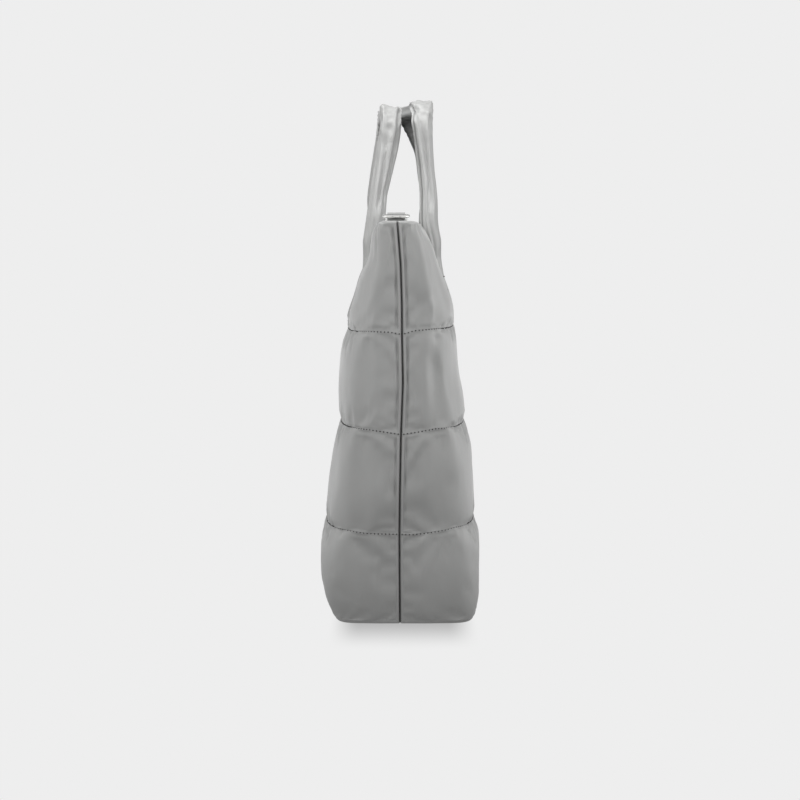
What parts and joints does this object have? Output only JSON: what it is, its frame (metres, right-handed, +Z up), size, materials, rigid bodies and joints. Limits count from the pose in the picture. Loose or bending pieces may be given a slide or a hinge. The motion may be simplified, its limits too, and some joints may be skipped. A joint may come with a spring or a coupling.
{
  "type": "padded shopper bag",
  "caption": "Quilted padded shopper bag that stands open on a flat base, with puffed carry handles and a D-ring at each end of the mouth.",
  "frame": {"origin": "on the floor under the middle of the bag", "axes": "+Z up, +X towards the right side seam, -Y towards the front panel"},
  "size_m": [0.3792, 0.1526, 0.4922],
  "materials": {
    "satin_cloth": "smooth satin weave, padded",
    "ring_metal": "polished"
  },
  "bodies": {
    "bag": {"front_panel": "satin_cloth", "back_panel": "satin_cloth", "base_panel": "satin_cloth", "front_handle": "satin_cloth", "back_handle": "satin_cloth", "ring_tab_right": "satin_cloth", "ring_tab_left": "satin_cloth"},
    "ring_right": {"d_ring_right": "ring_metal"},
    "ring_left": {"d_ring_left": "ring_metal"}
  },
  "joints": [
    {"name": "ring_right_swing", "type": "hinge", "parent": "bag", "child": "ring_right", "pos_m": [0.155, -0.0024, 0.3782], "axis": [0, -1, 0], "range_deg": [0, 170]},
    {"name": "ring_left_swing", "type": "hinge", "parent": "bag", "child": "ring_left", "pos_m": [-0.155, -0.0024, 0.3782], "axis": [0, 1, 0], "range_deg": [0, 170]}
  ]
}
